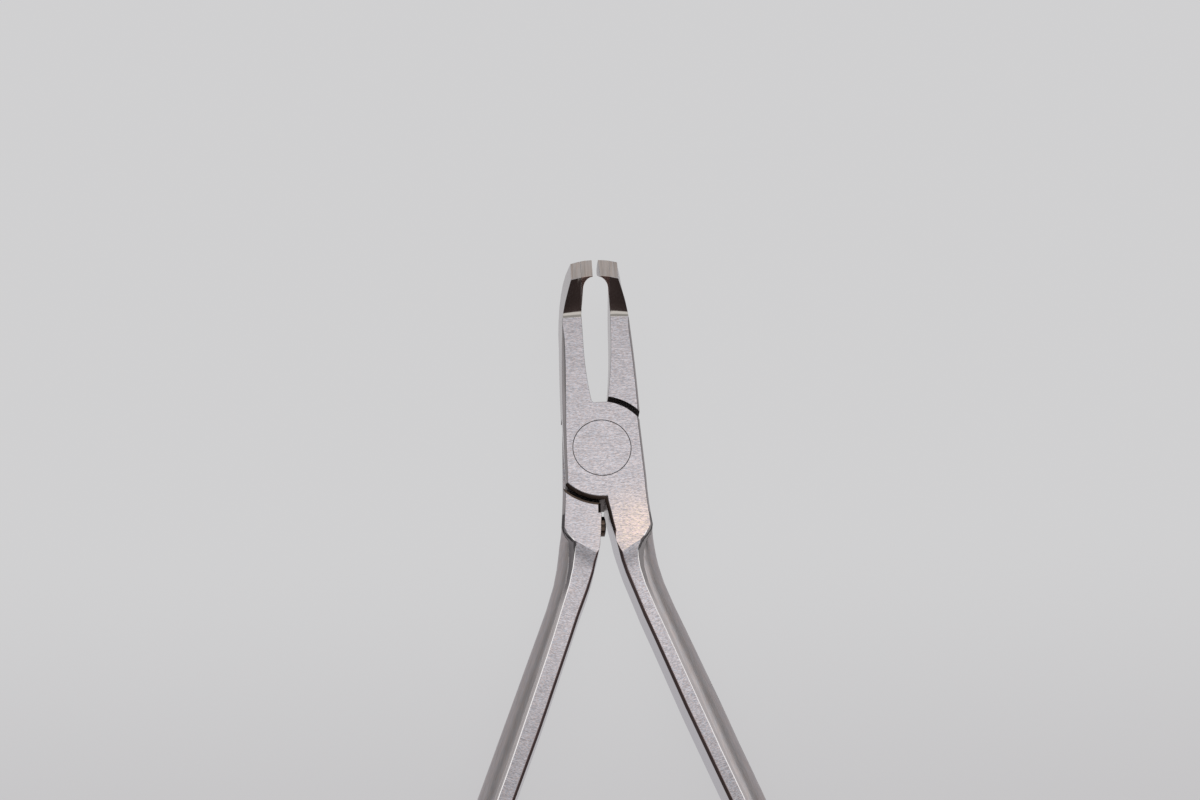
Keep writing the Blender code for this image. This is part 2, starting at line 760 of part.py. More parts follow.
def pin_object(name, radius, start, end_profile, material=None):
    """A pin along X at the stop pin's place, from its inner end to its free end."""
    item = lathe(name, [(0, start), (radius, start)] + end_profile, PIN_SEGMENTS, material)
    item.data.transform(Matrix.Translation((0, PIN_Y, MID)) @ Matrix.Rotation(math.pi / 2, 4, "Y"))
    return item


def turn_to_rest(item, side):
    """Open an object that belongs to one half by half of the opening at rest."""
    item.rotation_euler.z = side * REST_OPENING / 2


def blank(name, forging, material):
    """The lofted forging of one half before anything is cut from it."""
    rings = head_rings(forging) + jaw_rings(forging) + neck_rings(forging) + grip_rings(forging)
    if forging.side == BACK:
        rings = [[Vector((-p.x, p.y, p.z)) for p in ring] for ring in rings]
    return loft(name, rings, material)


def half(forging, material):
    """One half of the pliers: jaw, cheek and handle in one piece."""
    side = forging.side
    item = blank(forging.name, forging, material)
    tools = [jaw_cutter(forging), crotch_cutter(forging), lap_cutter(side), *flat_cutters(side)]
    tools.append(insert_cutter(side, BRAZE_GAP))
    bore = lathe("bore_cutter", pivot_profile(PIVOT_CLEARANCE), PIVOT_SEGMENTS)
    tools.append(as_cutter(bore))
    if side == BACK:
        radius = PIN_RADIUS + PIN_CLEARANCE
        hole = pin_object("pin_hole_cutter", radius, -PIN_DEPTH - PIN_CLEARANCE,
                          [(radius, PIN_REACH), (0, PIN_REACH)])
        tools.append(as_cutter(hole))
    for tool in tools:
        turn_to_rest(tool, side)
        cut(item, tool)
    turn_to_rest(item, side)
    return item


def carbide_insert(name, forging, material):
    """The cutting edge let into one tip, with the tip's own outer shape."""
    item = blank(name, forging, material)
    window = jaw_cutter(forging)
    box = insert_cutter(forging.side, 0)
    for tool in (window, box):
        turn_to_rest(tool, forging.side)
    cut(item, window)
    cut(item, box, "INTERSECT")
    turn_to_rest(item, forging.side)
    return item


def pivot_screw(material):
    """The countersunk screw that the halves turn on, riveted at the back."""
    item = lathe("pivot_screw", pivot_profile(0), PIVOT_SEGMENTS, material)
    turn_to_rest(item, BACK)
    return item


def stop_pin(material):
    """The pin with a crowned end, between the handles, that spares the cutting edges."""
    rim = math.asin(PIN_RADIUS / PIN_CROWN_RADIUS)
    crown = []
    for i in range(PIN_CROWN_STEPS + 1):
        turn = rim * (1 - i / PIN_CROWN_STEPS)
        crown.append((PIN_CROWN_RADIUS * math.sin(turn),
                      PIN_REACH - PIN_CROWN_RADIUS * (1 - math.cos(turn))))
    item = pin_object("stop_pin", PIN_RADIUS, -PIN_DEPTH, crown, material)
    turn_to_rest(item, BACK)
    return item


def build():
    """Model every piece of the pliers."""
    clear_scene()
    satin = steel("satin_steel", STEEL_COLOUR, 0.32)
    screw_steel = steel("screw_steel", SCREW_COLOUR, 0.3)
    carbide = steel("carbide", CARBIDE_COLOUR, 0.4)
    half(FRONT_FORGING, satin)
    half(BACK_FORGING, satin)
    pivot_screw(screw_steel)
    stop_pin(screw_steel)
    carbide_insert("left_carbide_insert", FRONT_FORGING, carbide)
    carbide_insert("right_carbide_insert", BACK_FORGING, carbide)


build()
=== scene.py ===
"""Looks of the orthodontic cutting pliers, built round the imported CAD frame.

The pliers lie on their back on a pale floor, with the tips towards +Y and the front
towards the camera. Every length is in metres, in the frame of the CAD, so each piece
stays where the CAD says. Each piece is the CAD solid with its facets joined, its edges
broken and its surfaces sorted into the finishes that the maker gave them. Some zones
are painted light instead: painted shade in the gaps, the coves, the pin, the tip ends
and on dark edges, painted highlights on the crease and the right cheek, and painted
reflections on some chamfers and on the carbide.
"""
import logging
import math
from dataclasses import dataclass, field
from enum import Enum
from typing import Union

import bmesh
import bpy
from mathutils import Euler, Matrix, Vector


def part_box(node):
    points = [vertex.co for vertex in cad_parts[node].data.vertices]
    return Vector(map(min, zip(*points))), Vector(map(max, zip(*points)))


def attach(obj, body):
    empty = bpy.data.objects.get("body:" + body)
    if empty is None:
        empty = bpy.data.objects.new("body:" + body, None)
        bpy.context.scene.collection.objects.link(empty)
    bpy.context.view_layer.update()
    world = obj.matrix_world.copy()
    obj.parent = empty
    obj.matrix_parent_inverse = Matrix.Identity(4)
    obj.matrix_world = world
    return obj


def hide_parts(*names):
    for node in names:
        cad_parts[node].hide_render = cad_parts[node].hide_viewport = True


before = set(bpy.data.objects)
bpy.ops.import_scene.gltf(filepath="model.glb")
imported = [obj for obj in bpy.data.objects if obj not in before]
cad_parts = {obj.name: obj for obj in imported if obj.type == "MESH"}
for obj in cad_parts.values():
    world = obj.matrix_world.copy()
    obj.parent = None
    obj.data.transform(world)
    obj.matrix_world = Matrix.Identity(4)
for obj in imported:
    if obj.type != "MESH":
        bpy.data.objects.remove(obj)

MM = 0.001
JOINT_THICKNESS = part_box("pivot_screw")[1][2]
MIDDLE_PLANE = JOINT_THICKNESS / 2
TIP_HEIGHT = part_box("front_half")[1][2]
NOISE_MIDDLE = 0.5
# Sockets of a Mix node that hold its two colours and the mixed one.
COLOUR_A = 6
COLOUR_B = 7
COLOUR_RESULT = 2

Colour = tuple[float, float, float, float]
Limits = tuple[float, float]
Number = Union[int, float, "Wire"]

log = logging.getLogger("pliers")


class Zone(Enum):
    """Surfaces of a half that are finished differently, in the order of its materials."""

    JOINT_FLAT = 0
    HANDLE_FLAT = 1
    POLISHED_BEND = 2
    TIP_END = 3
    ROUND = 4
    INNER_WALL = 5
    CHAMFER = 6
    # Broken edges are painted dark: painted shade that draws a dark line along them.
    BROKEN_EDGE = 7
    # Walls in the gaps between the halves, painted near-black: painted shade.
    GAP_SHADE = 8
    COVE = 9
    SIDE_WALL = 10
    # Inner chamfers are painted dark reddish: painted shade between the handles.
    INNER_CHAMFER = 11
    # Chamfers in the gap that face forward and up are painted brown: a painted reflection.
    BROWN_REFLECTION_CHAMFER = 12
    # The crease's bevel, made near-white steel: a painted highlight along the crease.
    CREASE = 13


class EdgeZone(Enum):
    """Surfaces of a cutting edge, in the order of its materials."""

    END = 0
    SLOPE = 1
    BACK = 2


class Grain(Enum):
    """Directions that a surface is brushed in, as an angle from +X."""

    ACROSS = 0.0
    ALONG = math.radians(90)


class Wire:
    """One output socket, with arithmetic that adds Math nodes."""

    def __init__(self, graph: "Graph", socket: bpy.types.NodeSocket) -> None:
        """Keep the socket and the graph it belongs to.

        Args:
            graph: The node tree's builder.
            socket: The output socket.
        """
        self.graph = graph
        self.socket = socket

    def _math(self, operation: str, first: Number, second: Number) -> "Wire":
        """Add one Math node.

        Args:
            operation: The node's operation.
            first: Its first value.
            second: Its second value.

        Returns:
            The node's result.
        """
        return self.graph.add("ShaderNodeMath", {"operation": operation},
                              {0: first, 1: second}).out()

    def __add__(self, other: Number) -> "Wire":
        """Sum of this and another value."""
        return self._math("ADD", self, other)

    def __radd__(self, other: Number) -> "Wire":
        """Sum of another value and this."""
        return self._math("ADD", other, self)

    def __sub__(self, other: Number) -> "Wire":
        """Difference of this and another value."""
        return self._math("SUBTRACT", self, other)

    def __rsub__(self, other: Number) -> "Wire":
        """Difference of another value and this."""
        return self._math("SUBTRACT", other, self)

    def __mul__(self, other: Number) -> "Wire":
        """Product of this and another value."""
        return self._math("MULTIPLY", self, other)

    def __rmul__(self, other: Number) -> "Wire":
        """Product of another value and this."""
        return self._math("MULTIPLY", other, self)

    def ramp(self, low: float, high: float) -> "Wire":
        """Ease from 0 at a low value to 1 at a high one.

        Args:
            low: Where the result is 0.
            high: Where the result is 1.

        Returns:
            The eased value.
        """
        node = self.graph.add("ShaderNodeMapRange", {"interpolation_type": "SMOOTHSTEP"},
                              {"Value": self, "From Min": low, "From Max": high})
        return node.out()


class Placed:
    """A node that has been added, with its outputs as wires."""

    def __init__(self, graph: "Graph", node: bpy.types.Node) -> None:
        """Keep the node.

        Args:
            graph: The node tree's builder.
            node: The node.
        """
        self.graph = graph
        self.node = node

    def out(self, name: int | str = 0) -> Wire:
        """One of the node's outputs.

        Args:
            name: The output's name or number.

        Returns:
            The output as a wire.
        """
        return Wire(self.graph, self.node.outputs[name])


class Graph:
    """Builder of one node tree."""

    def __init__(self, tree: bpy.types.NodeTree) -> None:
        """Keep the tree.

        Args:
            tree: The node tree of a material or of the world.
        """
        self.tree = tree

    def add(self, kind: str, settings: dict | None = None, values: dict | None = None) -> Placed:
        """Add a node.

        Args:
            kind: The node's type.
            settings: Its properties, set before its sockets.
            values: Its input sockets by name or number, as plain values or wires.

        Returns:
            The node.
        """
        node = self.tree.nodes.new(kind)
        for name, value in (settings or {}).items():
            setattr(node, name, value)
        for name, value in (values or {}).items():
            self.feed(node, name, value)
        return Placed(self, node)

    def feed(self, node: bpy.types.Node, name: int | str, value: object) -> None:
        """Set one input socket of a node.

        Args:
            node: The node.
            name: The socket's name or number.
            value: A plain value, or the wire to link to it.
        """
        if isinstance(value, Wire):
            self.tree.links.new(value.socket, node.inputs[name])
        else:
            node.inputs[name].default_value = value

    def place(self) -> Wire:
        """Coordinates on the piece, in metres."""
        return self.add("ShaderNodeTexCoord").out("Object")

    def parts(self, vector: Wire) -> tuple[Wire, Wire, Wire]:
        """Split a vector.

        Args:
            vector: The vector.

        Returns:
            Its X, Y and Z.
        """
        node = self.add("ShaderNodeSeparateXYZ", None, {0: vector})
        return node.out(0), node.out(1), node.out(2)

    def mix_colours(self, share: Number, first: Colour | Wire, second: Colour | Wire,
                    blend: str = "MIX") -> Wire:
        """Mix two colours.

        Args:
            share: How much of the second colour there is.
            first: The first colour.
            second: The second colour.
            blend: How the second colour is laid over the first.

        Returns:
            The mixed colour.
        """
        node = self.add("ShaderNodeMix", {"data_type": "RGBA", "blend_type": blend},
                        {"Factor": share, COLOUR_A: first, COLOUR_B: second})
        return node.out(COLOUR_RESULT)

    def noise(self, place: Wire, scale: float, detail: float = 2.0,
              roughness: float = 0.5) -> Wire:
        """Fine random pattern.

        Args:
            place: The coordinates that it reads.
            scale: How often it repeats in a unit of the coordinates.
            detail: Its number of octaves.
            roughness: How strong the finer octaves are.

        Returns:
            The pattern, from 0 to 1.
        """
        return self.add("ShaderNodeTexNoise", None,
                        {"Vector": place, "Scale": scale, "Detail": detail,
                         "Roughness": roughness}).out()

    def stretched(self, place: Wire, turn: float, along: float, across: float) -> Wire:
        """Coordinates in which a pattern is drawn out into brush marks.

        Args:
            place: Coordinates in metres.
            turn: Direction of the marks, from +X.
            along: Length of a mark.
            across: Width of a mark.

        Returns:
            The stretched coordinates.
        """
        turned = self.add("ShaderNodeMapping", {"vector_type": "POINT"},
                          {"Vector": place, "Rotation": (0.0, 0.0, -turn)}).out()
        return self.add("ShaderNodeVectorMath", {"operation": "MULTIPLY"},
                        {0: turned, 1: (1 / along, 1 / across, 1 / across)}).out()

    def dress(self, shader: Placed, colour: Wire, roughness: Wire, height: Wire,
              depth: float) -> None:
        """Link patterns to a metal shader.

        Args:
            shader: The shader node.
            colour: The base colour.
            roughness: The roughness.
            height: The height of the surface's relief, from 0 to 1.
            depth: How deep the relief is.
        """
        bump = self.add("ShaderNodeBump", None,
                        {"Height": height, "Distance": depth, "Strength": 1.0})
        self.feed(shader.node, "Base Color", colour)
        self.feed(shader.node, "Roughness", roughness)
        self.feed(shader.node, "Normal", bump.out())


def new_material(name: str, metallic: float) -> tuple[bpy.types.Material, Graph, Placed]:
    """Start a material.

    Args:
        name: The material's name.
        metallic: 1 for bare metal, 0 for what isn't metal.

    Returns:
        The material, its graph and its shader node.
    """
    material = bpy.data.materials.new(name)
    material.use_nodes = True
    graph = Graph(material.node_tree)
    shader = Placed(graph, material.node_tree.nodes["Principled BSDF"])
    shader.node.inputs["Metallic"].default_value = metallic
    return material, graph, shader


@dataclass(frozen=True)
class Tones:
    """The lightest and the darkest colour of a finish, or the warmer and the cooler."""

    light: Colour
    dark: Colour


GROUND_STEEL = Tones((0.73, 0.712, 0.738, 1.0), (0.35, 0.34, 0.355, 1.0))
ROUND_STEEL = Tones((0.565, 0.53, 0.525, 1.0), (0.475, 0.445, 0.44, 1.0))
SIDE_STEEL = Tones((0.72, 0.71, 0.70, 1.0), (0.62, 0.61, 0.60, 1.0))
WALL_STEEL = Tones((0.66, 0.655, 0.69, 1.0), (0.56, 0.555, 0.585, 1.0))
CHAMFER_STEEL = Tones((0.54, 0.51, 0.51, 1.0), (0.44, 0.41, 0.41, 1.0))
BRIGHT_STEEL = Tones((0.60, 0.57, 0.525, 1.0), (0.50, 0.47, 0.43, 1.0))
# Near-white steel for the crease's bevel: a painted highlight line.
CREASE_HIGHLIGHT_STEEL = Tones((1.0, 0.98, 0.97, 1.0), (0.90, 0.88, 0.87, 1.0))
# Dark steel on broken edges: painted shade that draws a dark line along them.
DARK_EDGE_SHADE_STEEL = Tones((0.22, 0.205, 0.21, 1.0), (0.15, 0.14, 0.145, 1.0))
# Dark reddish steel for the inner chamfers: painted shade.
INNER_CHAMFER_SHADE_STEEL = Tones((0.26, 0.19, 0.185, 1.0), (0.16, 0.115, 0.11, 1.0))
# Brown, mostly diffuse colour of the gap's chamfer: a painted brown reflection.
BROWN_REFLECTION_STEEL = Tones((0.22, 0.155, 0.115, 1.0), (0.14, 0.10, 0.075, 1.0))
# Near-black steel for the walls between the halves: painted shade.
GAP_SHADE_STEEL = Tones((0.11, 0.08, 0.064, 1.0), (0.04, 0.03, 0.027, 1.0))
# Dark brown pin: painted shade, with a brownish painted reflection, between the handles.
PIN_SHADE_STEEL = Tones((0.12, 0.085, 0.065, 1.0), (0.06, 0.045, 0.038, 1.0))
# Darker than the ground flats: painted shade for the weaker reflection of the ends.
END_SHADE_STEEL = Tones((0.455, 0.415, 0.39, 1.0), (0.355, 0.32, 0.295, 1.0))
# Warm coral tint of the carbide: a painted warm reflection on its polished slope.
WARM_REFLECTION_CARBIDE = Tones((0.80, 0.62, 0.55, 1.0), (0.60, 0.46, 0.40, 1.0))
CARBIDE_BACK = Tones((0.56, 0.545, 0.535, 1.0), (0.46, 0.445, 0.435, 1.0))
SPECKS = Tones((1.0, 0.88, 0.83, 1.0), (0.85, 0.92, 1.0, 1.0))
# Colours of the painted warm highlight, a glint painted on the right cheek.
PAINTED_GLINT_SPECKS = Tones((1.0, 0.84, 0.64, 1.0), (0.92, 0.70, 0.68, 1.0))
# Painted shade in the cove at the neck, deeper on the back half.
FRONT_NECK_COVE_SHADE: Colour = (0.24, 0.225, 0.225, 1.0)
BACK_NECK_COVE_SHADE: Colour = (0.15, 0.14, 0.145, 1.0)
GRIP_COVE: Colour = (0.44, 0.41, 0.41, 1.0)


@dataclass(frozen=True)
class BrushedSteel:
    """Steel with brush marks in one direction.

    The marks are fine grooves with some longer scratches. Warm and cool specks lie
    among them, and the tone drifts slowly from place to place. The lengths and widths
    of scratches and specks are in those of a mark. Where a reach is given, warm glint
    specks are laid over the marks round one place: a painted warm highlight.
    """

    name: str
    tones: Tones
    roughness: float
    turn: float
    mark_length: float
    mark_width: float
    depth: float
    tint: float
    roughness_drift: float = 0.06
    # Painted warm highlight: how far it reaches, where it is centred and how strong it is.
    painted_glint_reach: float = 0.0
    painted_glint_place: tuple[float, float, float] = (5.2 * MM, -13.5 * MM, 7.5 * MM)
    painted_glint_share: float = 0.9
    painted_glint_marks: Limits = (0.36, 0.6)
    mark_octaves: float = 3.0
    mark_roughness: float = 0.6
    scratch_length: float = 4.0
    scratch_share: float = 0.25
    groove_tones: Limits = (0.39, 0.61)
    drift_scale: float = 160.0
    drift_share: float = 0.12
    speck_length: float = 0.6
    speck_width: float = 1.3
    speck_tones: Limits = (0.38, 0.62)
    painted_glint_speck_tones: Limits = (0.42, 0.58)

    def material(self) -> bpy.types.Material:
        """Make the material.

        Returns:
            The material.
        """
        material, graph, shader = new_material(self.name, 1.0)
        place = graph.place()
        marks = graph.noise(graph.stretched(place, self.turn, self.mark_length,
                                            self.mark_width),
                            1.0, self.mark_octaves, self.mark_roughness)
        scratches = graph.noise(graph.stretched(place, self.turn,
                                                self.mark_length * self.scratch_length,
                                                self.mark_width), 1.0)
        drift = graph.noise(place, self.drift_scale)
        grooves = marks * (1 - self.scratch_share) + scratches * self.scratch_share
        share = grooves.ramp(*self.groove_tones) * (1 - self.drift_share) + drift * self.drift_share
        plain = graph.mix_colours(share, self.tones.dark, self.tones.light)
        specks = graph.noise(graph.stretched(place, self.turn,
                                             self.mark_length * self.speck_length,
                                             self.mark_width * self.speck_width), 1.0)
        speck_colour = graph.mix_colours(specks.ramp(*self.speck_tones), SPECKS.dark,
                                         SPECKS.light)
        colour = graph.mix_colours(self.tint, plain, speck_colour, "MULTIPLY")
        # Painted highlight: warm glint specks round one place of the flat, fading with distance.
        if self.painted_glint_reach:
            away = graph.add("ShaderNodeVectorMath", {"operation": "DISTANCE"},
                             {0: place, 1: self.painted_glint_place}).out("Value")
            painted_glint_amount = (away.ramp(self.painted_glint_reach, 0.0) * marks.ramp(*self.painted_glint_marks)
                      * self.painted_glint_share)
            painted_glint_colour = graph.mix_colours(specks.ramp(*self.painted_glint_speck_tones), PAINTED_GLINT_SPECKS.dark,
                                      PAINTED_GLINT_SPECKS.light)
            colour = graph.mix_colours(painted_glint_amount, colour, painted_glint_colour)
        roughness = self.roughness + (drift - NOISE_MIDDLE) * self.roughness_drift
        graph.dress(shader, colour, roughness, grooves, self.depth)
        return material


@dataclass(frozen=True)
class SatinSteel:
    """Steel with an even satin or polished surface."""

    name: str
    tones: Tones
    roughness: float
    roughness_drift: float = 0.05
    speck: float = 0.2 * MM
    depth: float = 0.0005 * MM
    metallic: float = 1.0
    speck_share: float = 0.3
    speck_roughness: float = 0.6
    drift_scale: float = 120.0

    def material(self) -> bpy.types.Material:
        """Make the material.

        Returns:
            The material.
        """
        material, graph, shader = new_material(self.name, self.metallic)
        place = graph.place()
        specks = graph.noise(place, 1 / self.speck, roughness=self.speck_roughness)
        drift = graph.noise(place, self.drift_scale)
        share = drift * (1 - self.speck_share) + specks * self.speck_share
        colour = graph.mix_colours(share, self.tones.dark, self.tones.light)
        roughness = self.roughness + (drift - NOISE_MIDDLE) * self.roughness_drift
        graph.dress(shader, colour, roughness, specks, self.depth)
        return material


@dataclass(frozen=True)
class CoveSteel:
    """Satin steel of the cove by the crease, with painted shade darker at the neck than the grip.
    """

    name: str
    # The neck colour is painted shade in the hollow of the neck.
    neck: Colour
    grip: Colour
    roughness: float
    roughness_drift: float = 0.1
    depth: float = 0.002 * MM
    drift_scale: float = 900.0
    drift_octaves: float = 3.0
    drift_share: float = 0.3
    grip_y: float = -27.0 * MM
    neck_y: float = -21.0 * MM

    def material(self) -> bpy.types.Material:
        """Make the material.

        Returns:
            The material.
        """
        material, graph, shader = new_material(self.name, 1.0)
        place = graph.place()
        along = graph.parts(place)[1]
        drift = graph.noise(place, self.drift_scale, self.drift_octaves)
        share = along.ramp(self.grip_y, self.neck_y) + (drift - NOISE_MIDDLE) * self.drift_share
        colour = graph.mix_colours(share, self.grip, self.neck)
        roughness = self.roughness + (drift - NOISE_MIDDLE) * self.roughness_drift
        graph.dress(shader, colour, roughness, drift, self.depth)
        return material


Finish = Union[BrushedSteel, SatinSteel, CoveSteel]


def tip_end_finish(name: str) -> BrushedSteel:
    """Finish of the flat ends of the tips and of the cutting edges in them.

    Args:
        name: The material's name.

    Returns:
        The finish.
    """
    # The ends are painted darker than the flats: painted shade.
    return BrushedSteel(name, END_SHADE_STEEL, roughness=0.32, turn=Grain.ALONG.value,
                        mark_length=4.0 * MM, mark_width=0.3 * MM, depth=0.003 * MM, tint=0.25)


def flat_finish(name: str, turn: float, painted_glint_reach: float = 0.0,
                mark_width: float = 0.065 * MM) -> BrushedSteel:
    """Finish of the ground flats.

    Args:
        name: The material's name.
        turn: Direction of the brush marks, from +X.
        painted_glint_reach: How far the painted warm highlight on the right cheek reaches.
        mark_width: Width of a brush mark.

    Returns:
        The finish.
    """
    return BrushedSteel(name, GROUND_STEEL, roughness=0.3, turn=turn, mark_length=0.45 * MM,
                        mark_width=mark_width, depth=0.004 * MM, tint=0.7,
                        painted_glint_reach=painted_glint_reach)


def half_finishes(handle_turn: float, neck_cove_shade: Colour) -> dict[Zone, Finish]:
    """Finishes of one half.

    Args:
        handle_turn: Direction across the handle, from +X.
        neck_cove_shade: Colour of the painted shade in the cove beside the neck's crease.

    Returns:
        The finish of each zone.
    """
    return {
        # The joint flat carries the painted warm highlight on its right cheek.
        Zone.JOINT_FLAT: flat_finish("joint_flat", Grain.ACROSS.value, 9.0 * MM),
        Zone.HANDLE_FLAT: flat_finish("handle_flat", handle_turn, mark_width=0.08 * MM),
        Zone.POLISHED_BEND: SatinSteel("polished_bend", BRIGHT_STEEL, 0.12,
                                       roughness_drift=0.04, depth=0.0002 * MM),
        Zone.TIP_END: tip_end_finish("tip_end"),
        Zone.ROUND: BrushedSteel("handle_round", ROUND_STEEL, roughness=0.3,
                                 turn=handle_turn + Grain.ALONG.value, mark_length=2.5 * MM,
                                 mark_width=0.2 * MM, depth=0.002 * MM, tint=0.3),
        Zone.INNER_WALL: SatinSteel("inner_wall", WALL_STEEL, 0.16, roughness_drift=0.04,
                                    speck=0.3 * MM),
        Zone.SIDE_WALL: SatinSteel("side_wall", SIDE_STEEL, 0.2),
        # The inner chamfers are painted dark as shade.
        Zone.INNER_CHAMFER: SatinSteel("inner_chamfer_painted_shade", INNER_CHAMFER_SHADE_STEEL, 0.18, speck=0.15 * MM),
        # The gap's forward chamfer is painted brown as a reflection.
        Zone.BROWN_REFLECTION_CHAMFER: SatinSteel("brown_reflection_chamfer", BROWN_REFLECTION_STEEL, 0.25,
                                       roughness_drift=0.08, depth=0.001 * MM, metallic=0.2),
        Zone.CHAMFER: SatinSteel("chamfer", CHAMFER_STEEL, 0.16, speck=0.15 * MM),
        # Broken edges are painted dark as shade.
        Zone.BROKEN_EDGE: SatinSteel("broken_edge_painted_shade", DARK_EDGE_SHADE_STEEL, 0.2, speck=0.15 * MM),
        # The walls in the gaps are painted near-black as shade.
        Zone.GAP_SHADE: SatinSteel("painted_gap_shade", GAP_SHADE_STEEL, 0.35, roughness_drift=0.1,
                             depth=0.002 * MM),
        Zone.COVE: CoveSteel("cove", neck_cove_shade, GRIP_COVE, 0.24),
        # The crease's bevel is near-white steel: a painted highlight.
        Zone.CREASE: SatinSteel("crease", CREASE_HIGHLIGHT_STEEL, 0.16, roughness_drift=0.04,
                                speck=0.3 * MM, depth=0.0003 * MM),
    }


# Places along the handle, with the heights of its crease and of the cove's floor
# above the middle plane.
CREASE_PROFILE = (
    (-14.8 * MM, 3.77 * MM, 3.22 * MM),
    (-15.6 * MM, 3.74 * MM, 3.09 * MM),
    (-16.3 * MM, 3.52 * MM, 2.94 * MM),
    (-17.0 * MM, 3.38 * MM, 2.88 * MM),
    (-18.0 * MM, 3.30 * MM, 2.90 * MM),
    (-20.0 * MM, 3.26 * MM, 2.94 * MM),
    (-22.6 * MM, 3.25 * MM, 3.00 * MM),
    (-57.0 * MM, 3.70 * MM, 3.48 * MM),
)


def crease_heights(y: float) -> tuple[float, float]:
    """Heights above the middle plane of a handle's crease and of its cove's floor.

    Args:
        y: Where along the pliers.

    Returns:
        Both heights.
    """
    if y > CREASE_PROFILE[0][0]:
        return CREASE_PROFILE[0][1:]
    for high, low in zip(CREASE_PROFILE, CREASE_PROFILE[1:]):
        if y > low[0]:
            share = (high[0] - y) / (high[0] - low[0])
            return tuple(a + (b - a) * share for a, b in zip(high[1:], low[1:]))
    return CREASE_PROFILE[-1][1:]


@dataclass(frozen=True)
class Break:
    """How one kind of sharp edge is broken.

    The room is the least width of the faces beside the edge, in widths of the break.
    """

    zone: Zone
    width: float
    steps: int
    room: float


CREASE_BREAK = Break(Zone.CREASE, width=0.085 * MM, steps=1, room=0.5)
STEEL_BREAK = Break(Zone.BROKEN_EDGE, width=0.05 * MM, steps=2, room=1.5)
CARBIDE_BREAK = Break(Zone.BROKEN_EDGE, width=0.02 * MM, steps=2, room=1.5)


@dataclass
class Steelwork:
    """One CAD solid made ready to be seen.

    A slope here is the share of a face's normal that points up or down: 1 on a flat and
    0 on a wall. The flat share is how many times its neighbour's area a large face has.
    """

    node: str
    body: str
    slot: str
    edge_break: Break = STEEL_BREAK
    crease_y: Limits = (-98.0 * MM, -14.0 * MM)
    crease_depth: float = 0.09 * MM
    crease_slopes: Limits = (0.3, 0.95)
    least_edge: float = 0.03 * MM
    facet_angle: float = math.radians(0.3)
    sharp_angle: float = math.radians(22)
    flat_angle: float = math.radians(1.5)
    flat_share: float = 8.0
    flat_slope: float = 0.9999
    ramp_slope: float = 0.85

    def piece(self) -> bpy.types.Object:
        """Join the solid's loose triangles, break its edges and smooth its rounds.

        Returns:
            The finished piece, which replaces the solid.
        """
        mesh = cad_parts[self.node].data.copy()
        mesh.name = "finished_" + self.node
        mesh.materials.clear()
        if "custom_normal" in mesh.attributes:
            mesh.attributes.remove(mesh.attributes["custom_normal"])
        work = bmesh.new()
        work.from_mesh(mesh)
        bmesh.ops.remove_doubles(work, verts=work.verts, dist=self.least_edge)
        bmesh.ops.dissolve_degenerate(work, edges=work.edges, dist=self.least_edge)
        bmesh.ops.dissolve_limit(work, angle_limit=self.facet_angle, verts=work.verts,
                                 edges=work.edges)
        for kind in (CREASE_BREAK, self.edge_break):
            self.break_edges(work, kind)
        self.shade(work)
        work.to_mesh(mesh)
        work.free()
        item = bpy.data.objects.new(mesh.name, mesh)
        bpy.context.scene.collection.objects.link(item)
        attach(item, self.body)
        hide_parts(self.node)
        return item

    def is_crease(self, edge: bmesh.types.BMEdge) -> bool:
        """Tell the crease between a handle's flat and the cove beside it.

        Args:
            edge: A sharp edge of the solid.

        Returns:
            Whether it is part of the crease.
        """
        middle = (edge.verts[0].co + edge.verts[1].co) / 2
        steep, level = sorted((face.normal for face in edge.link_faces),
                              key=lambda normal: abs(normal.z))
        height = abs(middle.z - MIDDLE_PLANE)
        end_y, start_y = self.crease_y
        wall_slope, flat_slope = self.crease_slopes
        return (end_y < middle.y < start_y
                and abs(level.z) > flat_slope > abs(steep.z) > wall_slope
                and steep.x * middle.x > 0.0
                and height > crease_heights(middle.y)[0] - self.crease_depth)

    def has_room(self, edge: bmesh.types.BMEdge, width: float) -> bool:
        """True where the faces beside an edge are wide enough to be cut back.

        Args:
            edge: An edge of the solid.
            width: How far its faces are cut back.

        Returns:
            Whether there is room.
        """
        length = edge.calc_length()
        return length > width and all(face.calc_area() > width * length
                                      for face in edge.link_faces)

    def break_edges(self, work: bmesh.types.BMesh, kind: Break) -> None:
        """Bevel one kind of sharp outer edge and mark the new faces.

        Args:
            work: The solid.
            kind: Which edges are broken, and how.
        """
        work.normal_update()
        sharp = [edge for edge in work.edges
                 if edge.is_manifold and edge.is_convex
                 and edge.calc_face_angle(0.0) > self.sharp_angle
                 and self.is_crease(edge) == (kind.zone is Zone.CREASE)
                 and self.has_room(edge, kind.width * kind.room)
                 and not any(face.material_index for face in edge.link_faces)]
        broken = bmesh.ops.bevel(work, geom=sharp, offset=kind.width, offset_type="OFFSET",
                                 segments=kind.steps, profile=0.5, affect="EDGES",
                                 material=-1, clamp_overlap=False)
        for face in broken["faces"]:
            face.material_index = kind.zone.value

    def shade(self, work: bmesh.types.BMesh) -> None:
        """Smooth the faces, but keep sharp edges and the edges of large flats.

        Args:
            work: The solid.
        """
        work.normal_update()
        for face in work.faces:
            face.smooth = True
        for edge in work.edges:
            angle = edge.calc_face_angle(math.pi)
            areas = sorted(face.calc_area() for face in edge.link_faces)
            slopes = sorted(abs(face.normal.z) for face in edge.link_faces)
            marked = [face.material_index for face in edge.link_faces]
            ramp = slopes[0] > self.ramp_slope and not any(marked)
            large = slopes[-1] > self.flat_slope or (
                not ramp and areas[-1] > self.flat_share * areas[0])
            edge.smooth = (angle < self.sharp_angle
                           and marked.count(Zone.CREASE.value) != 1
                           and not (large and angle > self.flat_angle))


